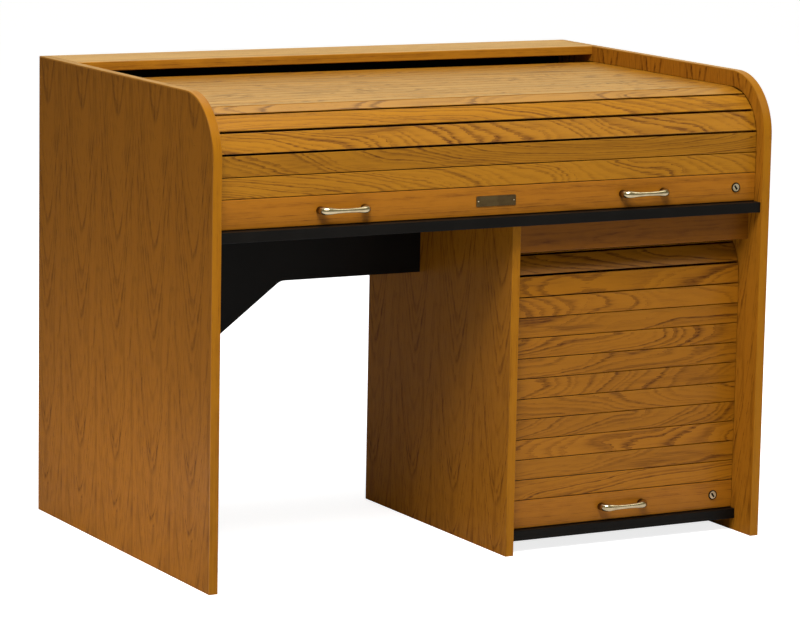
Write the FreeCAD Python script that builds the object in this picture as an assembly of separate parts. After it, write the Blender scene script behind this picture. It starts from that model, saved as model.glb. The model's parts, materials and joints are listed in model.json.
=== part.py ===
"""Roll-top desk with a slatted roll-up front, a kneehole and a pedestal with a roll-up door.

Millimetres. X runs along the front, +Y goes back and +Z goes up. The origin is on the
floor, midway across the desk and midway between its front and rear edges. Pieces are laid
out with y = 0 at the front edges of the end panels and moved to the origin when written.
"""
import math
import os

import FreeCAD
import Part

Vector = FreeCAD.Vector
X_AXIS = Vector(1, 0, 0)
Y_AXIS = Vector(0, 1, 0)

# Overall size
width = 1340.0
depth = 880.0
height = 1016.0

# Boards
panel_t = 20.0          # end panels, pedestal side, pedestal rail and cap
band_t = 3.0            # solid edge band round the veneered panels
band_round = 1.5        # eased arris of the edge band
corner_r = 132.0        # rounded front top corner of an end panel
thin_t = 12.0           # back, inner back and pedestal back
modesty_t = 16.0
arris = 2.0             # eased front edges of the solid rails and the cap

# Work surface
hutch_h = 276.0         # end panels above the top face
surface_t = 22.0
surface_inset = 6.0     # behind the front edges of the end panels
edge_strip_t = 3.0      # moulded strip along a black front edge
edge_strip_round = 1.2
surface_rear_room = 15.0  # between the rear edge and the lowered slats

# Back of the desk
cap_depth = 164.0
back_drop = 160.0       # back and modesty panel below the under side of the work surface
inner_back_inset = 52.0  # inner back, in front of the rear edge of the work surface
inner_back_h = 120.0

# Modesty panel
modesty_setback = 448.0
leg_brace_run = 360.0   # length along X of the slanted brace at the left end
leg_brace_drop = 270.0
brace_round = 30.0

# Pedestal
pedestal_x = 54.0       # outer face of its side panel
pedestal_setback = 48.0
pedestal_rear_inset = 198.0
rail_h = 64.0           # fixed rail over the door
rail_setback = 50.0
base_z = 27.0           # under side of the bottom board
base_t = 22.0
base_setback = 65.0

# Slats, the same in the roll top and the door
slat_t = 9.0
slat_pitch = 44.0
slat_gap = 1.5          # open joint between two faces
slat_bevel = 5.0        # each long edge leans in by this much towards the back
slat_ease = 0.8         # eased arris on the face
side_clear = 0.5        # between a slat's end and the panel beside it
rest_gap = 1.0          # under a closed lead rail

# Lead rails, the grip rails at the lower edge of both curtains
lead_h = 62.0
lead_t = 19.0

# Tracks
track_play = 0.6
track_cut = 8.0         # depth of the routed track in a panel
roll_inset = 30.0       # slat faces behind the front edges of the end panels
roll_drop = 36.0        # slat faces under the top edges of the end panels
roll_r = 100.0
roll_rear_room = 53.0   # between the lowered slats and the back
roll_slats = 19
door_inset = 80.0
door_drop = 40.0        # slat faces under the work surface
door_r = 110.0
door_slats = 13
door_track_end = 25.0   # end of the track in front of the pedestal back

# Slats that move as one piece, by number
roll_top_group = range(6, 9)
roll_tail_group = range(13, 19)
door_middle_group = range(6, 11)

# Pulls
pull_centres = 102.0
pull_reach = 25.0
pull_end_h = 20.0       # height and thickness at the feet
pull_end_t = 19.0
pull_mid_h = 9.0        # height and thickness at the middle
pull_mid_t = 6.0
pull_squareness = 0.55  # below 1 the bow is squarer than an ellipse
screw_d = 4.0
screw_head_d = 8.0
screw_head_h = 2.5
screw_grip = 9.0        # length of a screw inside a foot of a pull
hole_clear = 0.3        # hole over screw, all round

# Name plate on the roll top, bare
plate_w = 95.0
plate_h = 22.0
plate_t = 1.6
plate_corner = 2.0
pin_d = 3.0
pin_head = 0.8
pin_inset = 5.0

# Locks
lock_side = 50.0        # lock axis from the right end panel
bezel_d = 21.0
bezel_h = 2.0
barrel_d = 16.0
barrel_tail = 2.0       # barrel behind the lead rail
plug_d = 12.4
plug_clear = 0.2
plug_recess = 0.6       # plug face behind the bezel face
key_w = 2.2             # keyway
key_h = 8.0
key_d = 4.0
key_lean = 35.0         # top of the keyway to the left, in degrees
tang_w = 6.0
cam_t = 2.0
cam_w = 13.0
cam_bite = 9.0          # cam tip below the face that it locks into
cam_clear = 0.3
slot_clear = 1.5        # strike slot round the cam
strike_t = 1.5
strike_rim = 5.0

# Dowels
dowel_d = 8.0
dowel_in_panel = 10.0
dowel_in_board = 20.0

# Places worked out from the sizes above
inner_x = width / 2 - panel_t
door_x = pedestal_x + panel_t
door_mid_x = (door_x + inner_x) / 2
lock_x = inner_x - lock_side
surface_z = height - hutch_h
surface_under = surface_z - surface_t
surface_front = surface_inset + edge_strip_t
roll_rear = depth - thin_t - roll_rear_room
surface_rear = roll_rear - slat_t - surface_rear_room
inner_back_y = surface_rear - inner_back_inset
back_bottom_z = surface_under - back_drop
cap_under = height - panel_t
base_top = base_z + base_t
rail_z = surface_under - rail_h
pedestal_rear = depth - pedestal_rear_inset
pedestal_back_y = pedestal_rear - thin_t
lock_lift = rest_gap + lead_h / 2  # lock axis above the face that it locks into
cam_length = lock_lift + cam_bite


def box(x0, x1, y0, y1, z0, z1):
    """Box between two corners."""
    return Part.makeBox(x1 - x0, y1 - y0, z1 - z0, Vector(x0, y0, z0))


def rod(start, axis, length, diameter):
    """Round bar from a point along an axis."""
    return Part.makeCylinder(diameter / 2, length, start, axis)


def along_x(points, x0, x1):
    """Solid whose outline lies across X, given as (y, z) points."""
    corners = [Vector(x0, y, z) for y, z in points]
    outline = Part.makePolygon(corners + corners[:1])
    return Part.Face(outline).extrude(Vector(x1 - x0, 0, 0))


def ease(solid, radius, chosen):
    """Solid with the chosen edges rounded."""
    return solid.makeFillet(radius, [edge for edge in solid.Edges if chosen(edge)])


class Track:
    """Line that the slat backs follow: up, round and back, and round and down at a rear depth."""

    def __init__(self, face, start_z, top_face, radius, end, rear_face=None):
        self.radius = radius - slat_t
        bend = self.radius * math.pi / 2
        rise_end = top_face - radius
        flat_start = face + radius
        top = top_face - slat_t
        self.runs = [
            (Vector(0, face + slat_t, start_z), 90.0, rise_end - start_z, None),
            (Vector(0, flat_start, rise_end), 180.0, bend, self.radius),
        ]
        flat_end = end if rear_face is None else rear_face - radius
        self.runs.append((Vector(0, flat_start, top), 0.0, flat_end - flat_start, None))
        if rear_face is not None:
            drop_start = top_face - radius
            self.runs.append((Vector(0, flat_end, drop_start), 90.0, bend, self.radius))
            down = Vector(0, rear_face - slat_t, drop_start)
            self.runs.append((down, -90.0, drop_start - end, None))

    @staticmethod
    def heading(angle):
        """Unit step in the plane of the track."""
        return Vector(0, math.cos(math.radians(angle)), math.sin(math.radians(angle)))

    def point(self, travel, offset=0.0):
        """Place at a distance along the track, moved out from it by an offset."""
        for start, angle, length, radius in self.runs:
            if travel <= length or start is self.runs[-1][0]:
                if radius is None:
                    out = self.heading(angle + 90.0)
                    return start + self.heading(angle) * travel + out * offset
                turned = angle - math.degrees(travel / radius)
                return start + self.heading(turned) * (radius + offset)
            travel -= length

    def after(self, travel, chord):
        """Distance along the track of the next point at a straight distance."""
        here = self.point(travel)
        low = travel
        high = travel + 2 * chord
        while high - low > 1e-9:
            middle = (low + high) / 2
            if (self.point(middle) - here).Length < chord:
                low = middle
            else:
                high = middle
        return high

    def joints(self, slats):
        """Ends of the lead rail and of each slat after it, along the track."""
        travel = [0.0, lead_h]
        for _ in range(slats):
            travel.append(self.after(travel[-1], slat_pitch))
        return [self.point(distance) for distance in travel]

    def side(self, offset):
        """Edges parallel to the track."""
        edges = []
        for start, angle, length, radius in self.runs:
            if radius is None:
                out = self.heading(angle + 90.0) * offset
                edges.append(Part.makeLine(start + out, start + self.heading(angle) * length + out))
                continue
            far = angle - math.degrees(length / radius)
            ends = [start + self.heading(at) * (radius + offset) for at in (angle, (angle + far) / 2, far)]
            edges.append(Part.Arc(*ends).toShape())
        return edges

    def routed(self, face_x, inwards):
        """Track as a solid to cut from a panel face, going inwards along X."""
        outer = self.side(slat_t + track_play)
        inner = self.side(-track_play)
        ends = [
            Part.makeLine(outer[0].firstVertex().Point, inner[0].firstVertex().Point),
            Part.makeLine(outer[-1].lastVertex().Point, inner[-1].lastVertex().Point),
        ]
        outline = Part.Wire(Part.__sortEdges__(outer + inner + ends))
        cut = Part.Face(outline).extrude(Vector(inwards * track_cut, 0, 0))
        cut.translate(Vector(face_x, 0, 0))
        return cut


roll_track = Track(roll_inset, surface_z + rest_gap, height - roll_drop, roll_r, back_bottom_z, roll_rear)
door_track = Track(door_inset, base_top + rest_gap, surface_under - door_drop, door_r,
                   pedestal_back_y - door_track_end)


def end_outline(inset):
    """Side outline of an end panel, brought in from the front and top edges."""
    radius = corner_r - inset
    top = height - inset
    bend = Vector(0, corner_r, height - corner_r)
    half = math.sqrt(0.5) * radius
    return Part.Wire([
        Part.makeLine(Vector(0, inset, 0), Vector(0, inset, bend.z)),
        Part.Arc(Vector(0, inset, bend.z), bend + Vector(0, -half, half),
                 Vector(0, bend.y, top)).toShape(),
        Part.makeLine(Vector(0, bend.y, top), Vector(0, depth, top)),
        Part.makeLine(Vector(0, depth, top), Vector(0, depth, 0)),
        Part.makeLine(Vector(0, depth, 0), Vector(0, inset, 0)),
    ])


def end_panel(x0):
    """Veneered end panel and the solid band round its front and top edges."""
    whole = Part.Face(end_outline(0.0)).extrude(X_AXIS * panel_t)
    core = Part.Face(end_outline(band_t)).extrude(X_AXIS * panel_t)

    def on_rim(edge):
        middle = edge.CenterOfMass
        across = abs(edge.BoundBox.XLength) > panel_t / 2
        return not across and middle.z > arris and middle.y < depth - arris

    band = ease(whole, band_round, on_rim).cut(core)
    for solid in (core, band):
        solid.translate(Vector(x0, 0, 0))
    return core, band


def pedestal_side():
    """Side panel of the pedestal and the band on its front edge."""
    front = pedestal_setback + band_t
    panel = box(pedestal_x, door_x, front, pedestal_rear, 0, surface_under)
    band = box(pedestal_x, door_x, pedestal_setback, front, 0, surface_under)

    def at_front(edge):
        return edge.BoundBox.ZLength > surface_under / 2 and edge.CenterOfMass.y < front - arris

    return panel, ease(band, band_round, at_front)


def edge_strip(x0, x1, front, z0, z1):
    """Moulded strip along the front edge of a black board."""
    strip = box(x0, x1, front, front + edge_strip_t, z0, z1)

    def at_front(edge):
        return edge.BoundBox.XLength > edge_strip_t and edge.CenterOfMass.y < front + edge_strip_round

    return ease(strip, edge_strip_round, at_front)


def fixed_rail(x0, x1, y0, y1, z0, z1):
    """Solid rail or cap with eased front edges."""
    def at_front(edge):
        return edge.BoundBox.XLength > panel_t and edge.CenterOfMass.y < y0 + arris

    return ease(box(x0, x1, y0, y1, z0, z1), arris, at_front)


def modesty_panel():
    """Panel across the kneehole with a slanted brace down the left end panel."""
    corners = [
        Vector(-inner_x, modesty_setback, surface_under),
        Vector(pedestal_x, modesty_setback, surface_under),
        Vector(pedestal_x, modesty_setback, back_bottom_z),
        Vector(leg_brace_run - inner_x, modesty_setback, back_bottom_z),
        Vector(-inner_x, modesty_setback, back_bottom_z - leg_brace_drop),
    ]
    panel = Part.Face(Part.makePolygon(corners + corners[:1])).extrude(Y_AXIS * modesty_t)

    def at_brace(edge):
        middle = edge.CenterOfMass
        return edge.BoundBox.YLength > modesty_t / 2 and (middle - corners[3]).Length < modesty_t

    return ease(panel, brace_round, at_brace)


def slat(start, end, x0, x1):
    """Slat whose back lies between two points of its track."""
    along = (end - start).normalize()
    out = Vector(0, -along.z, along.y)
    low = start + along * (slat_gap / 2)
    high = end - along * (slat_gap / 2)
    section = [
        low + along * slat_bevel,
        high - along * slat_bevel,
        high + out * (slat_t - slat_ease),
        high - along * slat_ease + out * slat_t,
        low + along * slat_ease + out * slat_t,
        low + out * (slat_t - slat_ease),
    ]
    return along_x([(point.y, point.z) for point in section], x0, x1)


def lead_rail(x0, x1, face, z0):
    """Grip rail at the lower edge of a curtain."""
    return fixed_rail(x0, x1, face, face + lead_t, z0, z0 + lead_h - slat_gap / 2)


def pull_section(turn, feet_mid):
    """Oval section of a bow pull; turn goes from 0 at one foot to pi at the other."""
    def bow(angle):
        side = math.copysign(abs(math.cos(angle)) ** pull_squareness, -math.cos(angle))
        reach = abs(math.sin(angle)) ** pull_squareness
        return Vector(side * pull_centres / 2, -reach * pull_reach, 0)

    step = 1e-4
    ahead = bow(min(turn + step, math.pi)) - bow(max(turn - step, 0.0))
    if turn in (0.0, math.pi):
        ahead = Vector(0, -1, 0) if turn == 0.0 else Vector(0, 1, 0)
    share = math.sin(turn)
    tall = pull_end_h + (pull_mid_h - pull_end_h) * share
    thick = pull_end_t + (pull_mid_t - pull_end_t) * share
    oval = Part.Ellipse(Vector(0, 0, 0), tall / 2, thick / 2).toShape()
    upright = FreeCAD.Rotation(Vector(0, 0, 1), Vector(0, 0, 0), ahead.normalize(), "ZXY")
    oval.Placement = FreeCAD.Placement(feet_mid + bow(turn), upright)
    return Part.Wire([oval])


def bow_pull(mid_x, face, mid_z):
    """Cast bow pull, its two fixing screws and the holes that they need."""
    feet_mid = Vector(mid_x, face, mid_z)
    turns = [0.0, 0.2, 0.55, 1.0, math.pi / 2]
    turns += [math.pi - turn for turn in reversed(turns[:-1])]
    pull = Part.makeLoft([pull_section(turn, feet_mid) for turn in turns], True, False)
    screws = []
    holes = []
    for side in (-0.5, 0.5):
        foot = feet_mid + X_AXIS * (side * pull_centres)
        tip = foot - Y_AXIS * screw_grip
        back = foot + Y_AXIS * lead_t
        shank = rod(tip, Y_AXIS, screw_grip + lead_t, screw_d)
        screws.append(shank.fuse(rod(back, Y_AXIS, screw_head_h, screw_head_d)))
        holes.append(rod(tip, Y_AXIS, screw_grip + lead_t, screw_d + 2 * hole_clear))
        pull = pull.cut(rod(tip, Y_AXIS, screw_grip, screw_d))
    return pull, screws, holes


def name_plate(face, mid_z):
    """Bare plate held by two round-headed pins."""
    plate = box(-plate_w / 2, plate_w / 2, face - plate_t, face, mid_z - plate_h / 2, mid_z + plate_h / 2)
    plate = ease(plate, plate_corner, lambda edge: edge.BoundBox.YLength > plate_t / 2)
    for side in (-1, 1):
        head = Vector(side * (plate_w / 2 - pin_inset), face - plate_t, mid_z)
        plate = plate.fuse(rod(head, -Y_AXIS, pin_head, pin_d))
    return plate.removeSplitter()


def lock(face, axis_z):
    """Cam lock in a lead rail: barrel, plug, cam and the hole through the rail."""
    axis = Vector(lock_x, face, axis_z)
    rear = face + lead_t + barrel_tail
    bezel = rod(axis - Y_AXIS * bezel_h, Y_AXIS, bezel_h, bezel_d)
    bezel = ease(bezel, bezel_h / 4, lambda edge: edge.CenterOfMass.y < face - bezel_h / 2)
    shell = rod(axis, Y_AXIS, lead_t + barrel_tail, barrel_d)
    plug_face = axis - Y_AXIS * (bezel_h - plug_recess)
    plug_length = bezel_h - plug_recess + lead_t + barrel_tail
    bore = rod(axis - Y_AXIS * bezel_h, Y_AXIS, bezel_h + lead_t + barrel_tail, plug_d + 2 * plug_clear)
    barrel = bezel.fuse(shell).cut(bore)
    plug = rod(plug_face, Y_AXIS, plug_length, plug_d)
    tang_y = rear + cam_clear + cam_t
    plug = plug.fuse(box(lock_x - tang_w / 2, lock_x + tang_w / 2, rear, tang_y,
                         axis_z - tang_w / 2, axis_z + tang_w / 2))
    keyway = box(lock_x - key_w / 2, lock_x + key_w / 2, plug_face.y, plug_face.y + key_d,
                 axis_z - key_h / 2, axis_z + key_h / 2)
    keyway.rotate(axis, -Y_AXIS, key_lean)
    plug = plug.cut(keyway)
    cam_y = rear + cam_clear
    cam = box(lock_x - cam_length, lock_x, cam_y, tang_y, axis_z - cam_w / 2, axis_z + cam_w / 2)
    cam = cam.fuse(rod(Vector(lock_x, cam_y, axis_z), Y_AXIS, cam_t, cam_w)).removeSplitter()
    cam = cam.cut(box(lock_x - tang_w / 2, lock_x + tang_w / 2, cam_y, tang_y,
                      axis_z - tang_w / 2, axis_z + tang_w / 2))
    hole = rod(axis, Y_AXIS, lead_t, barrel_d)
    return barrel, plug, cam, hole


def strike(face, top_z):
    """Strike plate let into the board under a lock, and the recess that holds it."""
    cam_y = face + lead_t + barrel_tail + cam_clear
    sweep = math.sqrt(cam_length ** 2 - lock_lift ** 2) + cam_w / 2
    slot = box(lock_x - sweep - slot_clear, lock_x + cam_w / 2 + slot_clear,
               cam_y - slot_clear, cam_y + cam_t + slot_clear,
               top_z - cam_bite - slot_clear, top_z)
    room = slot.BoundBox
    seat = box(room.XMin - strike_rim, room.XMax + strike_rim, room.YMin - strike_rim,
               room.YMax + strike_rim, top_z - strike_t, top_z)
    return seat.cut(slot), seat.fuse(slot)


def dowel(joint_x, into_board, y, z):
    """Dowel across a joint between a panel and the end of a board; into_board is +1 or -1 on X."""
    start = Vector(joint_x - into_board * dowel_in_panel, y, z)
    return rod(start, X_AXIS * into_board, dowel_in_panel + dowel_in_board, dowel_d)


def dowel_rows():
    """Dowels of the case, by the board whose ends they hold."""
    def pair(left_x, right_x, places):
        return [dowel(x, way, y, z) for x, way in ((left_x, 1), (right_x, -1)) for y, z in places]

    surface_mid = surface_under + surface_t / 2
    surface_run = surface_rear - surface_front
    modesty_mid = modesty_setback + modesty_t / 2
    modesty_h = surface_under - back_bottom_z
    base_run = pedestal_back_y - base_setback
    cap_front = depth - cap_depth
    thirds = (0.25, 0.75)
    return {
        "work_surface": pair(-inner_x, inner_x,
                             [(surface_front + share * surface_run, surface_mid) for share in (0.2, 0.5, 0.8)]),
        "top_cap": pair(-inner_x, inner_x,
                        [(cap_front + share * cap_depth, height - panel_t / 2) for share in thirds]),
        "modesty_panel": pair(-inner_x, pedestal_x,
                              [(modesty_mid, back_bottom_z + share * modesty_h) for share in thirds]),
        "pedestal_rail": pair(door_x, inner_x,
                              [(rail_setback + panel_t / 2, rail_z + share * rail_h) for share in thirds]),
        "pedestal_base": pair(door_x, inner_x,
                              [(base_setback + share * base_run, base_z + base_t / 2) for share in thirds]),
    }


def case_parts():
    """Fixed pieces of the desk."""
    left, left_band = end_panel(-width / 2)
    right, right_band = end_panel(inner_x)
    side, side_band = pedestal_side()
    roll_strike, roll_seat = strike(roll_inset, surface_z)
    door_strike, door_seat = strike(door_inset, base_top)
    boards = {
        "work_surface": box(-inner_x, inner_x, surface_front, surface_rear, surface_under, surface_z).cut(roll_seat),
        "top_cap": fixed_rail(-inner_x, inner_x, depth - cap_depth, depth, cap_under, height),
        "modesty_panel": modesty_panel(),
        "pedestal_rail": fixed_rail(door_x, inner_x, rail_setback, rail_setback + panel_t, rail_z, surface_under),
        "pedestal_base": box(door_x, inner_x, base_setback + edge_strip_t, pedestal_back_y,
                             base_z, base_top).cut(door_seat),
    }
    rows = dowel_rows()
    dowels = Part.makeCompound([pin for row in rows.values() for pin in row])
    left = left.cut(roll_track.routed(-inner_x, -1)).cut(dowels)
    right = right.cut(roll_track.routed(inner_x, 1)).cut(door_track.routed(inner_x, 1)).cut(dowels)
    side = side.cut(door_track.routed(door_x, -1)).cut(dowels)
    for name, row in rows.items():
        boards[name] = boards[name].cut(Part.makeCompound(row))
    strips = [
        edge_strip(-inner_x, inner_x, surface_inset, surface_under, surface_z),
        edge_strip(door_x, inner_x, base_setback, base_z, base_top),
    ]
    return {
        "left_end_panel": left,
        "left_edge_band": left_band,
        "right_end_panel": right,
        "right_edge_band": right_band,
        "pedestal_side": side,
        "pedestal_edge_band": side_band,
        **boards,
        "edge_strips": Part.makeCompound(strips),
        "back_panel": box(-inner_x, inner_x, depth - thin_t, depth, back_bottom_z, cap_under),
        "inner_back": box(-inner_x, inner_x, inner_back_y, inner_back_y + thin_t, surface_z, surface_z + inner_back_h),
        "pedestal_back": box(door_x, inner_x, pedestal_back_y, pedestal_rear, base_z, surface_under),
        "strike_plates": Part.makeCompound([roll_strike, door_strike]),
        "board_dowels": dowels,
    }


def curtain_parts(name, track, slats, groups, x0, x1, face, floor_z, pull_places):
    """Lead rail with its fittings, and the slats, as nodes named after the curtain."""
    x0 += side_clear
    x1 -= side_clear
    joints = track.joints(slats)
    rail = lead_rail(x0, x1, face, floor_z + rest_gap)
    mid_z = floor_z + lock_lift
    barrel, plug, cam, lock_hole = lock(face, mid_z)
    rail = rail.cut(lock_hole)
    pulls = []
    screws = []
    for mid_x in pull_places:
        pull, pair, holes = bow_pull(mid_x, face, mid_z)
        rail = rail.cut(Part.makeCompound(holes))
        pulls.append(pull)
        screws += pair
    made = {
        name + "_lead_rail": rail,
        name + "_pulls": Part.makeCompound(pulls),
        name + "_pull_screws": Part.makeCompound(screws),
        name + "_lock_barrel": barrel,
        name + "_lock_plug": plug,
        name + "_lock_cam": cam,
    }
    grouped = {}
    for number in range(1, slats + 1):
        solid = slat(joints[number], joints[number + 1], x0, x1)
        node = next((title for title, members in groups.items() if number in members),
                    f"{name}_slat_{number:02d}")
        grouped.setdefault(node, []).append(solid)
    for node, solids in grouped.items():
        made[node] = solids[0] if len(solids) == 1 else Part.makeCompound(solids)
    return made


def desk_parts():
    """Every piece of the desk by node name."""
    pieces = case_parts()
    roll_groups = {"roll_top_slats": roll_top_group, "roll_tail_slats": roll_tail_group}
    pieces.update(curtain_parts("roll", roll_track, roll_slats, roll_groups, -inner_x, inner_x,
                                roll_inset, surface_z, (-door_mid_x, door_mid_x)))
    pieces["roll_name_plate"] = name_plate(roll_inset, surface_z + lock_lift)
    door_groups = {"door_middle_slats": door_middle_group}
    pieces.update(curtain_parts("door", door_track, door_slats, door_groups, door_x, inner_x,
                                door_inset, base_top, (door_mid_x,)))
    return pieces


def main():
    """Write one file for each piece."""
    os.makedirs("parts", exist_ok=True)
    for node, shape in desk_parts().items():
        shape.translate(Vector(0, -depth / 2, 0))
        shape.exportStep(f"parts/{node}.step")


main()
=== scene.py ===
"""Roll-top desk in honey oak: finishes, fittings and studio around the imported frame."""
from __future__ import annotations

import json
import logging
import math
from collections.abc import Callable
from dataclasses import dataclass, replace
from enum import Enum

import bpy
from mathutils import Euler, Matrix, Vector

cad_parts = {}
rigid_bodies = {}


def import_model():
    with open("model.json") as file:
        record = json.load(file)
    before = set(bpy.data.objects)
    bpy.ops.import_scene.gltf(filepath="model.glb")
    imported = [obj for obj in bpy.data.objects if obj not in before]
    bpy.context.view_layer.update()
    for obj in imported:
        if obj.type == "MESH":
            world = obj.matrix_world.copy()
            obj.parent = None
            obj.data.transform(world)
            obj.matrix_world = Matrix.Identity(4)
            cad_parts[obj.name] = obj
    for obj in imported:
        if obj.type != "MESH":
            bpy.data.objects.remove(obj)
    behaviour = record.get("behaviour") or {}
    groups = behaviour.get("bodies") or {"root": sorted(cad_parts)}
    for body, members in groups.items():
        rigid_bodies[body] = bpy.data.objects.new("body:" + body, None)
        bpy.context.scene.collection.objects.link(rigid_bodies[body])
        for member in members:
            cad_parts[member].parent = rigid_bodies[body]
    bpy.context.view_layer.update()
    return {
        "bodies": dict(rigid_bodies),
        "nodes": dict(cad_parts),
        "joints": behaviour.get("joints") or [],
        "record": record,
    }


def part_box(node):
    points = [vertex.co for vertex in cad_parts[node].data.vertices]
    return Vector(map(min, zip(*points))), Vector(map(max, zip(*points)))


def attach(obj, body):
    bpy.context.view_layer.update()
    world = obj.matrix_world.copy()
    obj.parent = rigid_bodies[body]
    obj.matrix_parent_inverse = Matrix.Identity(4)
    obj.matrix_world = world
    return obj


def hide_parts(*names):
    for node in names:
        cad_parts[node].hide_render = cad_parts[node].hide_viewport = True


LOG = logging.getLogger("desk")
QUARTER = math.pi / 2
MERGE = 1e-6
NEAR = 1e-5

Socket = bpy.types.NodeSocket
Tree = bpy.types.NodeTree
Colour = tuple[float, float, float]
Place = tuple[float, float, float]
Span = tuple[float, float]


def linear(red: int, green: int, blue: int) -> Colour:
    """Turns a screen colour, from 0 to 255, into the linear one that shaders use."""
    def channel(value: int) -> float:
        """Gives one linear channel."""
        share = value / 255.0
        return share / 12.92 if share <= 0.04045 else ((share + 0.055) / 1.055) ** 2.4

    return channel(red), channel(green), channel(blue)


@dataclass(frozen=True)
class Wave:
    """Cloudy noise: waves per metre along each axis, offset into the noise and finer layers."""

    x: float
    y: float
    z: float
    offset: float = 0.0
    detail: float = 2.0


@dataclass
class Wiring:
    """Small helper that adds and joins nodes in one node tree."""

    tree: Tree

    @property
    def shader(self) -> bpy.types.Node:
        """Main shader of a material."""
        return self.tree.nodes["Principled BSDF"]

    def add(self, kind: str, **settings: object) -> bpy.types.Node:
        """Adds a node.

        Args:
            kind: Node type name.
            settings: Properties to set on the node.

        Returns:
            The new node.
        """
        node = self.tree.nodes.new(kind)
        for name, value in settings.items():
            setattr(node, name, value)
        return node

    def feed(self, target: Socket, value: object) -> None:
        """Joins a socket to an input, or writes a plain value on it.

        Args:
            target: Input socket.
            value: Output socket, number or tuple.
        """
        if isinstance(value, bpy.types.NodeSocket):
            self.tree.links.new(value, target)
        elif isinstance(value, tuple) and len(value) == 3 and target.type == "RGBA":
            target.default_value = (*value, 1.0)
        else:
            target.default_value = value

    def fill(self, node: bpy.types.Node, values: dict[str, object]) -> bpy.types.Node:
        """Feeds several inputs of a node by their names, and gives the node back."""
        for name, value in values.items():
            self.feed(node.inputs[name], value)
        return node

    def math(self, operation: str, *values: object, clamp: bool = False) -> Socket:
        """Adds a Math node.

        Args:
            operation: Blender's name of the operation.
            values: Its inputs, sockets or numbers.
            clamp: Whether the result stays between 0 and 1.

        Returns:
            The result.
        """
        node = self.add("ShaderNodeMath", operation=operation, use_clamp=clamp)
        for target, value in zip(node.inputs, values):
            self.feed(target, value)
        return node.outputs[0]

    def stretch(self, value: Socket, low: object, high: object) -> Socket:
        """Takes a share from 0 to 1 to a place between a low and a high value."""
        node = self.add("ShaderNodeMapRange")
        return self.fill(node, {"Value": value, "To Min": low, "To Max": high}).outputs[0]

    def step(self, value: Socket, start: float, end: float) -> Socket:
        """Rises smoothly from 0 at the start value to 1 at the end value."""
        node = self.add("ShaderNodeMapRange", interpolation_type="SMOOTHSTEP")
        return self.fill(node, {"Value": value, "From Min": start, "From Max": end}).outputs[0]

    def place(self) -> Socket:
        """Gives the piece's own coordinates."""
        return self.add("ShaderNodeTexCoord").outputs["Object"]

    def parts(self, vector: Socket) -> tuple[Socket, Socket, Socket]:
        """Splits a vector into its three parts."""
        node = self.add("ShaderNodeSeparateXYZ")
        self.feed(node.inputs[0], vector)
        return node.outputs[0], node.outputs[1], node.outputs[2]

    def vector(self, x: object, y: object, z: object) -> Socket:
        """Joins three values to a vector."""
        node = self.add("ShaderNodeCombineXYZ")
        for target, value in zip(node.inputs, (x, y, z)):
            self.feed(target, value)
        return node.outputs[0]

    def noise(self, vector: Socket, wave: Wave, drift: Socket | None = None) -> Socket:
        """Adds cloudy noise.

        Args:
            vector: Place to read at.
            wave: Its stretch, offset and detail.
            drift: Further offset, a chance value of the board.

        Returns:
            Noise around 0.5.
        """
        shift = wave.offset if drift is None else self.math("ADD", drift, wave.offset)
        x, y, z = self.parts(vector)
        placed = self.vector(
            self.math("MULTIPLY_ADD", x, wave.x, shift),
            self.math("MULTIPLY", y, wave.y),
            self.math("MULTIPLY_ADD", z, wave.z, shift),
        )
        node = self.add("ShaderNodeTexNoise", noise_dimensions="3D")
        return self.fill(node, {"Scale": 1.0, "Detail": wave.detail, "Vector": placed}).outputs[0]

    def swing(self, vector: Socket, wave: Wave, drift: Socket) -> Socket:
        """Adds cloudy noise around 0."""
        return self.math("SUBTRACT", self.noise(vector, wave, drift), 0.5)

    def scatter(self, value: Socket) -> bpy.types.Node:
        """Adds white noise of one value; its outputs are Value and Color."""
        return self.fill(self.add("ShaderNodeTexWhiteNoise", noise_dimensions="1D"), {"W": value})

    def mix(self, share: object, first: object, second: object) -> Socket:
        """Mixes two colours by the share of the second; the numbers are the colour sockets of the node."""
        node = self.add("ShaderNodeMix", data_type="RGBA")
        for number, value in ((0, share), (6, first), (7, second)):
            self.feed(node.inputs[number], value)
        return node.outputs[2]

    def bump(self, height: Socket, strength: float, distance: float) -> None:
        """Lets a height from 0 to 1 tilt the main shader's normals, over a distance in metres."""
        node = self.add("ShaderNodeBump")
        self.fill(node, {"Height": height, "Strength": strength, "Distance": distance})
        self.feed(self.shader.inputs["Normal"], node.outputs[0])


class GroupMaker:
    """Base of the shader node groups that several finishes share."""

    title = "group"
    inputs: dict[str, str] = {}
    outputs: dict[str, str] = {}

    def tree(self) -> Tree:
        """Gives the group, built at the first call.

        Returns:
            The group's node tree.
        """
        found = bpy.data.node_groups.get(self.title)
        if found is not None:
            return found
        tree = bpy.data.node_groups.new(self.title, "ShaderNodeTree")
        for way, sockets in (("INPUT", self.inputs), ("OUTPUT", self.outputs)):
            for name, kind in sockets.items():
                tree.interface.new_socket(name, in_out=way, socket_type=kind)
        wiring = Wiring(tree)
        entry = wiring.add("NodeGroupInput")
        leave = wiring.add("NodeGroupOutput")
        self.build(wiring, entry.outputs, leave.inputs)
        return tree

    def build(self, wiring: Wiring, given: object, result: object) -> None:
        """Fills the group.

        Args:
            wiring: Helper on the group's tree.
            given: Sockets that come in.
            result: Sockets that go out.
        """
        raise NotImplementedError


FLOAT = "NodeSocketFloat"
VECTOR = "NodeSocketVector"
COLOUR = "NodeSocketColor"


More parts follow.
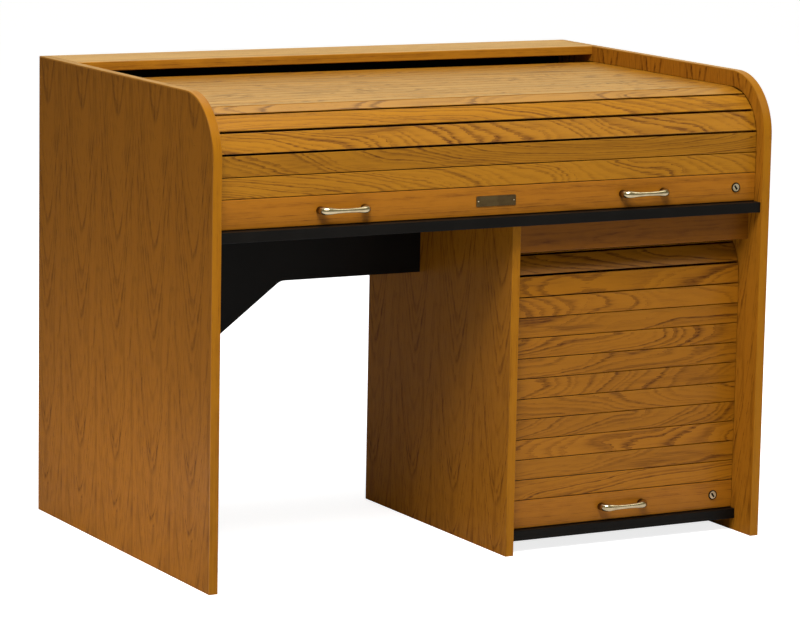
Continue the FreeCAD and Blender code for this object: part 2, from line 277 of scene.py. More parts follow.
class BoardLay(GroupMaker):
    """Splits a row of boards into single ones, each with chance values of its own."""

    title = "board_lay"
    inputs = {"Vector": VECTOR, "Pitch": FLOAT, "Seed": FLOAT}
    outputs = {"Vector": VECTOR, "Chance": COLOUR, "Tone": FLOAT}
    seed_step = 3.17

    def build(self, wiring: Wiring, given: object, result: object) -> None:
        """Numbers the boards across Z and centres each of them."""
        x, y, z = wiring.parts(given["Vector"])
        count = wiring.math("ROUND", wiring.math("DIVIDE", z, given["Pitch"]))
        across = wiring.math("SUBTRACT", z, wiring.math("MULTIPLY", count, given["Pitch"]))
        chance = wiring.scatter(wiring.math("MULTIPLY_ADD", count, self.seed_step, given["Seed"]))
        wiring.feed(result["Vector"], wiring.vector(x, y, across))
        wiring.feed(result["Chance"], chance.outputs["Color"])
        wiring.feed(result["Tone"], chance.outputs["Value"])


class BandLay(GroupMaker):
    """Follows an edge band up the front, round the corner and along the top."""

    title = "band_lay"
    inputs = {"Vector": VECTOR, "Centre Y": FLOAT, "Centre Z": FLOAT, "Radius": FLOAT}
    outputs = {"Vector": VECTOR}

    def build(self, wiring: Wiring, given: object, result: object) -> None:
        """Gives the way along the band as X and the way across it as Z."""
        x, y, z = wiring.parts(given["Vector"])
        ahead = wiring.math("SUBTRACT", y, given["Centre Y"])
        above = wiring.math("SUBTRACT", z, given["Centre Z"])
        front = wiring.math("MAXIMUM", wiring.math("MULTIPLY", ahead, -1.0), 0.0)
        top = wiring.math("MAXIMUM", above, 0.0)
        squares = wiring.math("ADD", wiring.math("MULTIPLY", front, front), wiring.math("MULTIPLY", top, top))
        across = wiring.math("SQRT", squares)
        bend = wiring.math("MULTIPLY", wiring.math("ARCTAN2", top, front), given["Radius"])
        straight = wiring.math("ADD", wiring.math("MINIMUM", above, 0.0), wiring.math("MAXIMUM", ahead, 0.0))
        wiring.feed(result["Vector"], wiring.vector(wiring.math("ADD", bend, straight), across, x))


class OakFigure(GroupMaker):
    """Growth rings of a plain-sawn or straight oak board, cut from a round trunk along X."""

    title = "oak_figure"
    inputs = {
        "Vector": VECTOR, "Chance": COLOUR, "Tone": FLOAT, "Pith Near": FLOAT, "Pith Far": FLOAT,
        "Aside": FLOAT, "Taper Low": FLOAT, "Taper High": FLOAT, "Both Ways": FLOAT, "Cone": FLOAT,
        "Bow": FLOAT, "Streaks": FLOAT, "Flecks": FLOAT, "Ring": FLOAT, "Wave": FLOAT, "Contrast": FLOAT,
        "Tone Spread": FLOAT, "Late Wood": COLOUR, "Early Wood": COLOUR,
    }
    outputs = {"Color": COLOUR, "Roughness": FLOAT, "Height": FLOAT}

    # Waves of the rings, of their torn edges and of the marks between them.
    slow = Wave(2.6, 6.0, 7.0)
    side = Wave(1.7, 5.0, 5.0, 40.0)
    knit = Wave(24.0, 330.0, 330.0)
    fleck = Wave(20.0, 95.0, 95.0, 61.0, 3.0)
    torn = Wave(16.0, 480.0, 480.0, 13.0)
    flame = Wave(3.2, 30.0, 30.0, 27.0)
    pore = Wave(70.0, 700.0, 700.0, 0.0, 1.0)
    silk = Wave(4.0, 160.0, 160.0, 0.0, 3.0)
    cloud = Wave(2.0, 9.0, 9.0)
    streak = Wave(1.4, 46.0, 46.0, 5.0)

    # Early wood's strength through one ring, and how rings differ in width and strength.
    profile = ((0.0, 0.8), (0.05, 0.5), (0.2, 0.85), (0.4, 0.3), (0.62, 0.06), (0.95, 0.0), (1.0, 1.0))
    uneven_rate = 0.43
    uneven_reach = 1.6
    strength: Span = (0.12, 1.0)

    # How far knit and flecks push a ring, in ring widths.
    knit_reach = 0.74
    fleck_reach = 0.35

    # Where each mark starts and is full, and its share in the colour.
    torn_edge: Span = (0.3, 0.62)
    torn_span: Span = (0.5, 1.0)
    flame_edge: Span = (0.56, 0.72)
    flame_torn: Span = (0.25, 0.7)
    flame_share = 0.55
    pore_edge: Span = (0.53, 0.7)
    pore_in_ring: Span = (0.75, 0.25)
    pore_share = 0.32
    silk_share = 0.4
    fleck_in_ring: Span = (1.6, 0.5)
    cloud_share = 0.3
    rough: Span = (0.14, 0.34)
    ring_depth = 0.35

    # Spread of the chance values over the noise.
    drift_spread = 71.0
    flip_spread = 7.3

    def build(self, wiring: Wiring, given: object, result: object) -> None:
        """Finds each point's ring, and colours it from early wood to late wood."""
        math_of = wiring.math
        vector = given["Vector"]
        chance = wiring.parts(given["Chance"])
        drift = math_of("MULTIPLY", chance[1], self.drift_spread)
        fleck = math_of("MULTIPLY", wiring.swing(vector, self.fleck, drift), given["Flecks"])
        torn = wiring.noise(vector, self.torn, drift)
        early = self.early(wiring, self.turn(wiring, given, chance, drift, fleck), torn, drift)
        flame = wiring.step(wiring.noise(vector, self.flame, drift), *self.flame_edge)
        flame = math_of("MULTIPLY", flame, wiring.step(torn, *self.flame_torn))
        pores = wiring.step(wiring.noise(vector, self.pore, drift), *self.pore_edge)
        pores = math_of("MULTIPLY", pores, math_of("MULTIPLY_ADD", early, *self.pore_in_ring))
        share = math_of("MAXIMUM", early, math_of("MULTIPLY", flame, self.flame_share))
        share = math_of("MULTIPLY", share, given["Contrast"])
        marks = (
            (pores, self.pore_share),
            (wiring.swing(vector, self.silk, drift), self.silk_share),
            (wiring.swing(vector, self.streak, drift), given["Streaks"]),
            (fleck, math_of("MULTIPLY_ADD", early, *self.fleck_in_ring)),
        )
        for mark, weight in marks:
            share = math_of("MULTIPLY_ADD", mark, weight, share)
        cloud = wiring.swing(vector, self.cloud, drift)
        share = math_of("MULTIPLY_ADD", cloud, self.cloud_share, share, clamp=True)
        level = math_of("SUBTRACT", given["Tone"], 0.5)
        level = math_of("MULTIPLY_ADD", level, given["Tone Spread"], 1.0)
        colour = wiring.mix(share, given["Late Wood"], given["Early Wood"])
        shade = wiring.fill(wiring.add("ShaderNodeHueSaturation"), {"Value": level, "Color": colour})
        wiring.feed(result["Color"], shade.outputs[0])
        wiring.feed(result["Roughness"], math_of("MULTIPLY_ADD", share, *self.rough))
        hollow = math_of("MULTIPLY_ADD", early, self.ring_depth, pores)
        wiring.feed(result["Height"], math_of("SUBTRACT", 1.0, hollow))

    def turn(self, wiring: Wiring, given: object, chance: tuple[Socket, Socket, Socket], drift: Socket,
             fleck: Socket) -> Socket:
        """Counts the rings from the pith out to each point.

        Args:
            wiring: Helper on the group's tree.
            given: Sockets that come in.
            chance: The board's chance values.
            drift: The board's offset into the noise.
            fleck: Flecks around 0.

        Returns:
            The ring's number, with its part.
        """
        math_of = wiring.math
        x, y, z = wiring.parts(given["Vector"])
        flip = math_of("FRACT", math_of("MULTIPLY", chance[0], self.flip_spread))
        flip = math_of("MULTIPLY", math_of("GREATER_THAN", flip, 0.5), given["Both Ways"])
        way = math_of("MULTIPLY_ADD", flip, -2.0, 1.0)
        taper = math_of("MULTIPLY", wiring.stretch(chance[2], given["Taper Low"], given["Taper High"]), way)
        depth = wiring.stretch(chance[1], given["Pith Near"], given["Pith Far"])
        depth = math_of("ADD", depth, math_of("MULTIPLY", taper, x))
        slow = wiring.swing(given["Vector"], self.slow, drift)
        depth = math_of("ADD", depth, math_of("MULTIPLY", slow, given["Wave"]))
        depth = math_of("ADD", depth, y)
        off_middle = math_of("SUBTRACT", chance[0], 0.5)
        aside = math_of("MULTIPLY_ADD", off_middle, math_of("MULTIPLY", given["Aside"], 2.0), z)
        side = wiring.swing(given["Vector"], self.side, drift)
        aside = math_of("ADD", aside, math_of("MULTIPLY", side, given["Wave"]))
        squared = math_of("MULTIPLY", aside, aside)
        radius = math_of("SQRT", math_of("ADD", squared, math_of("MULTIPLY", depth, depth)))
        radius = math_of("MULTIPLY_ADD", squared, given["Bow"], radius)
        radius = math_of("MULTIPLY_ADD", x, given["Cone"], radius)
        knit = wiring.swing(given["Vector"], self.knit, drift)
        for push, reach in ((knit, self.knit_reach), (fleck, self.fleck_reach)):
            radius = math_of("MULTIPLY_ADD", push, math_of("MULTIPLY", given["Ring"], reach), radius)
        turn = math_of("DIVIDE", radius, given["Ring"])
        place = math_of("MULTIPLY_ADD", turn, self.uneven_rate, drift)
        uneven = wiring.add("ShaderNodeTexNoise", noise_dimensions="1D")
        wiring.fill(uneven, {"Scale": 1.0, "Detail": 1.0, "W": place})
        return math_of("MULTIPLY_ADD", uneven.outputs[0], self.uneven_reach, turn)

    def early(self, wiring: Wiring, turn: Socket, torn: Socket, drift: Socket) -> Socket:
        """Finds how much early wood there is at each point.

        Args:
            wiring: Helper on the group's tree.
            turn: Ring's number, with its part.
            torn: Noise that tears the rings' edges.
            drift: The board's offset into the noise.

        Returns:
            Early wood from 0 to 1.
        """
        profile = wiring.add("ShaderNodeValToRGB")
        stops = profile.color_ramp.elements
        for place, _ in self.profile[1:-1]:
            stops.new(place)
        for stop, (_, level) in zip(stops, self.profile):
            stop.color = (level, level, level, 1.0)
        wiring.feed(profile.inputs[0], wiring.math("FRACT", turn))
        ring = wiring.scatter(wiring.math("ADD", wiring.math("FLOOR", turn), drift))
        strength = wiring.stretch(ring.outputs["Value"], *self.strength)
        early = wiring.math("MULTIPLY", profile.outputs[0], strength)
        edge = wiring.stretch(wiring.step(torn, *self.torn_edge), *self.torn_span)
        return wiring.math("MULTIPLY", early, edge)


class Saw(Enum):
    """How a board was cut from the trunk, as settings of its figure."""

    PLAIN = {
        "Pith Near": 0.035, "Pith Far": 0.17, "Aside": 0.05, "Taper Low": 0.03, "Taper High": 0.13,
        "Both Ways": 1.0, "Cone": 0.0, "Bow": 0.0, "Ring": 0.0046, "Wave": 0.045, "Streaks": 0.3,
        "Flecks": 0.0,
    }
    STRAIGHT = {
        "Pith Near": 0.02, "Pith Far": 0.06, "Aside": 0.3, "Taper Low": 0.005, "Taper High": 0.02,
        "Both Ways": 1.0, "Cone": 0.0, "Bow": 0.0, "Ring": 0.0028, "Wave": 0.012, "Streaks": 0.6,
        "Flecks": 1.2,
    }
    VENEER = {
        "Pith Near": 0.012, "Pith Far": 0.012, "Aside": 0.0, "Taper Low": 0.0, "Taper High": 0.0,
        "Both Ways": 0.0, "Cone": -0.45, "Bow": 11.0, "Ring": 0.02, "Wave": 0.035, "Streaks": 0.9,
        "Flecks": 1.5,
    }


@dataclass(frozen=True)
class OakFinish:
    """Lacquered oak of one cut and tone."""

    saw: Saw
    late_wood: Colour
    early_wood: Colour
    contrast: float
    tone_spread: float = 0.1
    coat: float = 0.06
    gloss: float = 0.14
    coat_rough: float = 0.25
    relief: float = 0.22
    relief_depth: float = 0.0006

    def figure(self, wiring: Wiring, vector: Socket, chance: object, tone: object) -> bpy.types.Node:
        """Places the ring figure in a material.

        Args:
            wiring: Helper on the material's tree.
            vector: Board coordinates, grain along X.
            chance: Three chance values as a colour.
            tone: Chance value for the lightness.

        Returns:
            The group node.
        """
        node = wiring.add("ShaderNodeGroup", node_tree=OakFigure().tree())
        return wiring.fill(node, {
            **self.saw.value, "Vector": vector, "Chance": chance, "Tone": tone, "Contrast": self.contrast,
            "Tone Spread": self.tone_spread, "Late Wood": self.late_wood, "Early Wood": self.early_wood,
        })

    def varnish(self, wiring: Wiring, figure: bpy.types.Node) -> None:
        """Finishes a material as satin lacquer over the ring figure."""
        wiring.fill(wiring.shader, {
            "Base Color": figure.outputs["Color"], "Roughness": figure.outputs["Roughness"],
            "Specular IOR Level": self.gloss, "Coat Weight": self.coat, "Coat Roughness": self.coat_rough,
        })
        wiring.bump(figure.outputs["Height"], self.relief, self.relief_depth)


def new_material(name: str) -> tuple[bpy.types.Material, Wiring]:
    """Starts a node material, and gives it with the helper on its tree."""
    material = bpy.data.materials.new(name)
    material.use_nodes = True
    return material, Wiring(material.node_tree)


def dress(piece: bpy.types.Object, material: bpy.types.Material) -> None:
    """Gives a piece one material, and reports it."""
    piece.data.materials.clear()
    piece.data.materials.append(material)
    LOG.info("%s dressed in %s", piece.name, material.name)


def face_turn(piece: bpy.types.Object) -> float:
    """Finds how far a board's face is turned about X from facing the front.

    Args:
        piece: CAD node of a slat or a row of slats.

    Returns:
        The angle that brings its face to the front, in radians.
    """
    areas: dict[Span, float] = {}
    for polygon in piece.data.polygons:
        key = (round(polygon.normal.y, 3), round(polygon.normal.z, 3))
        areas[key] = areas.get(key, 0.0) + polygon.area
    (ahead, above), _ = max(areas.items(), key=lambda item: item[1])
    return math.pi - math.atan2(above, ahead)


@dataclass
class BoardDresser:
    """Dresses single boards and rows of slats with oak whose grain runs along X."""

    finish: OakFinish
    pitch: float = 1.0

    def material(self, name: str, centre: Vector, turn: float, seed: float) -> bpy.types.Material:
        """Builds the oak of one node.

        Args:
            name: Name of the material.
            centre: Middle of the node.
            turn: Angle about X that brings the face to the front.
            seed: Value that picks the boards' figures.

        Returns:
            The material.
        """
        material, wiring = new_material(name)
        mapping = wiring.add("ShaderNodeMapping")
        turned = Euler((turn, 0.0, 0.0)).to_matrix() @ centre
        wiring.fill(mapping, {"Vector": wiring.place(), "Rotation": (turn, 0.0, 0.0), "Location": -turned})
        lay = wiring.add("ShaderNodeGroup", node_tree=BoardLay().tree())
        board = wiring.fill(lay, {"Vector": mapping.outputs[0], "Pitch": self.pitch, "Seed": seed}).outputs
        figure = self.finish.figure(wiring, board["Vector"], board["Chance"], board["Tone"])
        self.finish.varnish(wiring, figure)
        return material

    def dress_node(self, node: str, piece: bpy.types.Object, seed: float) -> None:
        """Dresses one CAD node, with the figure that the seed picks."""
        low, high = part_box(node)
        dress(piece, self.material("oak_" + node, (low + high) / 2, face_turn(piece), seed))


@dataclass
class VeneerDresser:
    """Dresses the upright panels with slip-matched leaves of veneer."""

    finish: OakFinish
    leaf: float = 0.187
    start: float = -0.44
    climb: float = 0.006
    slip: float = 0.0015
    chance: Colour = (0.5, 0.37, 0.5)
    tone: float = 0.5

    def material(self, name: str, shift: float) -> bpy.types.Material:
        """Builds the veneer of one panel.

        Args:
            name: Name of the material.
            shift: How far the leaves are moved along the grain.

        Returns:
            The material.
        """
        material, wiring = new_material(name)
        _, y, z = wiring.parts(wiring.place())
        leaves = wiring.math("DIVIDE", wiring.math("SUBTRACT", y, self.start), self.leaf)
        count = wiring.math("FLOOR", leaves)
        in_leaf = wiring.math("SUBTRACT", wiring.math("FRACT", leaves), 0.5)
        across = wiring.math("MULTIPLY_ADD", count, self.slip, wiring.math("MULTIPLY", in_leaf, self.leaf))
        along = wiring.math("MULTIPLY_ADD", count, self.climb, wiring.math("ADD", z, shift))
        figure = self.finish.figure(wiring, wiring.vector(along, 0.0, across), self.chance, self.tone)
        self.finish.varnish(wiring, figure)
        return material


@dataclass
class BandDresser:
    """Dresses the solid edge bands, with the grain along the band."""

    finish: OakFinish
    corner: float = 0.132
    chance: Colour = (0.9, 0.4, 0.5)
    tone: float = 0.5

    def material(self, name: str, low: Vector, high: Vector) -> bpy.types.Material:
        """Builds the oak of one band.

        Args:
            name: Name of the material.
            low: Lowest corner of the band.
            high: Highest corner of the band.

        Returns:
            The material.
        """
        material, wiring = new_material(name)
        lay = wiring.add("ShaderNodeGroup", node_tree=BandLay().tree())
        wiring.fill(lay, {"Vector": wiring.place(), "Centre Y": low.y + self.corner,
                          "Centre Z": high.z - self.corner, "Radius": self.corner})
        figure = self.finish.figure(wiring, lay.outputs["Vector"], self.chance, self.tone)
        self.finish.varnish(wiring, figure)
        return material


@dataclass(frozen=True)
class BlackFinish:
    """Satin black board with a fine texture."""

    colour: Colour = linear(11, 9, 7)
    worn: Colour = linear(20, 17, 14)
    gloss: float = 0.12
    smooth: float = 0.36
    rough: float = 0.56
    relief: float = 0.15
    relief_depth: float = 0.0003
    grit: Wave = Wave(900.0, 900.0, 900.0)
    grit_span: Span = (0.2, 0.8)
    cloud: Wave = Wave(9.0, 9.0, 9.0, 5.0)
    cloud_edge: Span = (0.35, 0.75)

    def material(self, name: str) -> bpy.types.Material:
        """Builds the finish.

        Args:
            name: Name of the material.

        Returns:
            The material.
        """
        material, wiring = new_material(name)
        place = wiring.place()
        grit = wiring.noise(place, self.grit)
        cloud = wiring.step(wiring.noise(place, self.cloud), *self.cloud_edge)
        share = wiring.math("MULTIPLY", cloud, wiring.stretch(grit, *self.grit_span))
        colour = wiring.mix(share, self.colour, self.worn)
        rough = wiring.stretch(grit, self.smooth, self.rough)
        wiring.fill(wiring.shader, {"Base Color": colour, "Roughness": rough,
                                    "Specular IOR Level": self.gloss})
        wiring.bump(grit, self.relief, self.relief_depth)
        return material


@dataclass(frozen=True)
class MetalFinish:
    """Satin metal with fine brush marks along X and faint clouds."""

    bright: Colour
    dull: Colour
    smooth: float
    rough: float
    brush: Wave = Wave(60.0, 2200.0, 2200.0)
    cloud: Wave = Wave(60.0, 60.0, 60.0, 9.0)
    cloud_edge: Span = (0.3, 0.75)
    relief: float = 0.06
    relief_depth: float = 0.0002

    def paint_shade(self, wiring: Wiring, place: Socket, colour: Socket) -> Socket:
        """Gives the metal's colour with any painted shade laid over it; plain metal has none."""
        return colour

    def material(self, name: str) -> bpy.types.Material:
        """Builds the finish.

        Args:
            name: Name of the material.

        Returns:
            The material.
        """
        material, wiring = new_material(name)
        place = wiring.place()
        brush = wiring.noise(place, self.brush)
        cloud = wiring.step(wiring.noise(place, self.cloud), *self.cloud_edge)
        # Lays the finish's painted shade over the metal's colour.
        colour = self.paint_shade(wiring, place, wiring.mix(cloud, self.bright, self.dull))
        rough = wiring.stretch(brush, self.smooth, self.rough)
        wiring.fill(wiring.shader, {"Metallic": 1.0, "Base Color": colour, "Roughness": rough})
        wiring.bump(brush, self.relief, self.relief_depth)
        return material


@dataclass(frozen=True)
class PullFinish(MetalFinish):
    """Pull metal with painted shade on its feet towards the wood."""

    # Painted shade on the feet: the wood's face, how far in front of it the shade starts and where it is
    # full, and its colour.
    wood: float = 0.0
    shade_reach: float = 0.017
    dark: float = 0.006
    shade_colour: Colour = linear(92, 74, 44)

    def paint_shade(self, wiring: Wiring, place: Socket, colour: Socket) -> Socket:
        """Paints shade on the feet towards the wood."""
        _, y, _ = wiring.parts(place)
        return wiring.mix(wiring.step(y, self.wood - self.shade_reach, self.wood - self.dark), colour, self.shade_colour)


@dataclass(frozen=True)
class LockFinish(MetalFinish):
    """Lock metal with painted shade: a dark line round the face, dark hollows behind it and a dark band over
    the keyway.
    """

    middle: Place = (0.0, 0.0, 0.0)
    # Painted shade: a dark line outside this radius, dark hollows over this depth behind the face, and a dark
    # band over the keyway, all in the shade colour.
    rim: float = 0.0078
    hollow: Span = (0.0003, 0.0009)
    lean: float = math.radians(35.0)
    keyway_shade: Span = (0.0019, 0.0054)
    blur: float = 0.0006
    shade_colour: Colour = linear(26, 20, 12)

    def paint_shade(self, wiring: Wiring, place: Socket, colour: Socket) -> Socket:
        """Paints shade on the outer rim, over and around the keyway and on all that lies behind the face.

        Args:
            wiring: Helper on the material's tree.
            place: Object coordinates.
            colour: Metal's colour without the painted shade.

        Returns:
            The colour with the painted shade.
        """
        x, y, z = wiring.parts(place)
        aside = wiring.math("SUBTRACT", x, self.middle[0])
        above = wiring.math("SUBTRACT", z, self.middle[2])
        squares = wiring.math("MULTIPLY_ADD", aside, aside, wiring.math("MULTIPLY", above, above))
        edge = wiring.step(wiring.math("SQRT", squares), self.rim, self.rim + self.blur)
        behind = wiring.step(wiring.math("SUBTRACT", y, self.middle[1]), *self.hollow)
        off_slot = 0.0
        for along, across, half in ((math.cos(self.lean), math.sin(self.lean), self.keyway_shade[0]),
                                    (-math.sin(self.lean), math.cos(self.lean), self.keyway_shade[1])):
            reach = wiring.math("MULTIPLY_ADD", aside, along, wiring.math("MULTIPLY", above, across))
            outside = wiring.step(wiring.math("ABSOLUTE", reach), half, half + self.blur)
            off_slot = wiring.math("MAXIMUM", off_slot, outside)
        slot = wiring.math("SUBTRACT", 1.0, off_slot)
        # Full painted shade wherever any of the three masks is full.
        dark = wiring.math("MAXIMUM", slot, wiring.math("MAXIMUM", edge, behind))
        return wiring.mix(dark, colour, self.shade_colour)

    @classmethod
    def for_node(cls, node: str) -> LockFinish:
        """Gives the finish round the axis of a CAD node, a barrel or a plug."""
        low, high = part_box(node)
        face = ((low.x + high.x) / 2, low.y, (low.z + high.z) / 2)
        metal = LOCK_BRASS
        return cls(metal.bright, metal.dull, metal.smooth, metal.rough, middle=face)


# SLAT_OAK and the door's oak are lit and shaded copies of one slat oak: the roll's yellower colours are
# painted light, and the door's darker, redder ones are painted shade.
SLAT_OAK = OakFinish(Saw.PLAIN, linear(162, 107, 21), linear(82, 39, 5), contrast=1.1, tone_spread=0.2)
SHADED_DOOR_OAK = OakFinish(Saw.PLAIN, linear(157, 99, 18), linear(80, 39, 5), contrast=1.15, tone_spread=0.2,
                     gloss=0.12)
RAIL_OAK = OakFinish(Saw.STRAIGHT, linear(163, 101, 20), linear(100, 54, 8), contrast=0.75)
SHADED_OAK = OakFinish(Saw.STRAIGHT, linear(126, 74, 12), linear(85, 45, 6), contrast=0.6, gloss=0.1)
# Lighter, yellower copy of the rail oak for the top cap: painted light for its pale top.
LIT_CAP_OAK = OakFinish(Saw.STRAIGHT, linear(173, 114, 25), linear(112, 64, 11), contrast=0.7)
BAND_OAK = OakFinish(Saw.STRAIGHT, linear(158, 101, 16), linear(113, 64, 9), contrast=0.45, coat=0.02,
                     gloss=0.07)
PANEL_OAK = OakFinish(Saw.VENEER, linear(162, 102, 23), linear(93, 49, 8), contrast=0.9, coat=0.0, gloss=0.02)
# Darker copy of the panel veneer for the left end panel: painted shade for the side that gets less light.
SHADED_PANEL_OAK = replace(PANEL_OAK, late_wood=linear(137, 84, 15), early_wood=linear(78, 40, 5))
BLACK_BOARD = BlackFinish()
NICKEL = PullFinish(linear(207, 190, 155), linear(184, 166, 130), smooth=0.17, rough=0.3)
BRONZE = MetalFinish(linear(118, 98, 64), linear(102, 82, 54), smooth=0.3, rough=0.45)
LOCK_BRASS = MetalFinish(linear(236, 220, 186), linear(214, 196, 158), smooth=0.3, rough=0.46)
ZINC = MetalFinish(linear(186, 188, 190), linear(150, 152, 155), smooth=0.3, rough=0.5)


def select_only(piece: bpy.types.Object, kind: str, test: Callable[[Vector, Vector], bool]) -> None:
    """Selects some faces or edges of the piece in edit mode, and nothing else.

    Args:
        piece: Object that is being modelled.
        kind: FACE or EDGE.
        test: Says yes for what is wanted, from its middle and its normal or run.
    """
    bpy.ops.mesh.select_mode(type=kind)
    bpy.ops.mesh.select_all(action="DESELECT")
    bpy.ops.object.mode_set(mode="OBJECT")
    mesh = piece.data
    if kind == "FACE":
        for face in mesh.polygons:
            face.select = test(face.center, face.normal)
    else:
        for edge in mesh.edges:
            start, end = (mesh.vertices[index].co for index in edge.vertices)
            edge.select = test((start + end) / 2, (end - start).normalized())
    bpy.ops.object.mode_set(mode="EDIT")


def close_piece(piece: bpy.types.Object, name: str, angle: float) -> None:
    """Ends the modelling of a piece: doubles, normals, shading and name.

    Args:
        piece: Object in edit mode.
        name: Name to give it.
        angle: Edges sharper than this stay sharp, in degrees.
    """
    bpy.ops.mesh.select_all(action="SELECT")
    bpy.ops.mesh.remove_doubles(threshold=MERGE)
    bpy.ops.mesh.normals_make_consistent(inside=False)
    bpy.ops.object.mode_set(mode="OBJECT")
    bpy.ops.object.shade_smooth_by_angle(angle=math.radians(angle))
    piece.name = name
    piece.data.name = name


@dataclass
class BowPull:
    """Cast bow pull with two flared feet and a slim middle."""

    centres: float = 0.102
    reach: float = 0.025
    end_tall: float = 0.0168
    end_thick: float = 0.019
    middle_tall: float = 0.009
    middle_thick: float = 0.006
    squareness: float = 0.55
    tall_power: int = 6
    thick_power: int = 2
    sides: int = 28
    sharp: float = 50.0
    tiny_turn: float = 1e-4
    half_merge: float = 1e-4
    turns: tuple[float, ...] = (0.0, 0.02, 0.06, 0.12, 0.2, 0.3, 0.42, 0.56, 0.72, 0.9, 1.1, 1.32, QUARTER)

    def place(self, turn: float) -> Vector:
        """Gives the middle of a section; the turn is 0 at the left foot and a quarter turn at the middle."""
        return Vector((-self.centres / 2 * max(math.cos(turn), 0.0) ** self.squareness,
                       -self.reach * math.sin(turn) ** self.squareness, 0.0))

    def section(self, turn: float) -> tuple[float, float, float]:
        """Gives one section of the bow.

        Args:
            turn: Place along the bow.

        Returns:
            Heading from straight out of the wood, height and thickness.
        """
        ahead = self.place(min(turn + self.tiny_turn, QUARTER)) - self.place(max(turn - self.tiny_turn, 0.0))
        heading = 0.0 if turn == 0.0 else math.atan2(ahead.x, -ahead.y)
        tall = self.end_tall + (self.middle_tall - self.end_tall) * math.sin(turn) ** self.tall_power
        thick = self.end_thick + (self.middle_thick - self.end_thick) * math.sin(turn) ** self.thick_power
        return heading, tall, thick

    def model(self) -> bpy.types.Object:
        """Extrudes one half section by section and mirrors it.

        Returns:
            The pull, with its back at the origin.
        """
        bpy.ops.object.select_all(action="DESELECT")
        bpy.ops.mesh.primitive_circle_add(vertices=self.sides, radius=0.5, fill_type="NGON",
                                          rotation=(QUARTER, 0.0, 0.0))
        pull = bpy.context.object
        bpy.ops.object.transform_apply(location=True, rotation=True, scale=True)
        bpy.ops.object.mode_set(mode="EDIT")
        bpy.ops.mesh.select_all(action="SELECT")
        heading, tall, thick = self.section(0.0)
        bpy.ops.transform.resize(value=(thick, 1.0, tall), center_override=(0.0, 0.0, 0.0))
        bpy.ops.transform.translate(value=self.place(0.0))
        for before, turn in zip(self.turns, self.turns[1:]):
            there = self.place(turn)
            new_heading, new_tall, new_thick = self.section(turn)
            bpy.ops.mesh.extrude_region_move(TRANSFORM_OT_translate={"value": there - self.place(before)})
            bpy.ops.transform.rotate(value=heading - new_heading, orient_axis="Z", center_override=there)
            grow = new_thick / thick
            bpy.ops.transform.resize(value=(grow, grow, new_tall / tall), center_override=there)
            heading, tall, thick = new_heading, new_tall, new_thick
        bpy.ops.mesh.delete(type="ONLY_FACE")
        bpy.ops.object.mode_set(mode="OBJECT")
        mirror = pull.modifiers.new("other_half", "MIRROR")
        mirror.merge_threshold = self.half_merge
        bpy.ops.object.modifier_apply(modifier=mirror.name)
        bpy.ops.object.mode_set(mode="EDIT")
        close_piece(pull, "bow_pull", self.sharp)
        return pull

    def replace(self, node: str, body: str) -> bpy.types.Object:
        """Puts a pull at each end of a CAD node that holds two of them, or one in its middle.

        Args:
            node: CAD node with the pulls.
            body: Body that they ride on.

        Returns:
            The new piece.
        """
        low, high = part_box(node)
        half = (self.centres + self.end_thick) / 2
        single = high.x - low.x < 2 * self.centres
        spots = [(low.x + high.x) / 2] if single else [low.x + half, high.x - half]
        pulls = []
        for spot in spots:
            pull = self.model()
            bpy.ops.transform.translate(value=(spot, high.y, (low.z + high.z) / 2))
            bpy.ops.object.transform_apply(location=True, rotation=True, scale=True)
            pulls.append(pull)
        for pull in pulls:
            pull.select_set(True)
        bpy.context.view_layer.objects.active = pulls[0]
        if len(pulls) > 1:
            bpy.ops.object.join()
        piece = bpy.context.object
        piece.name = node + "_cast"
        piece.data.name = piece.name
        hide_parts(node)
        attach(piece, body)
        LOG.info("%s: %d pull(s)", piece.name, len(spots))
        return piece


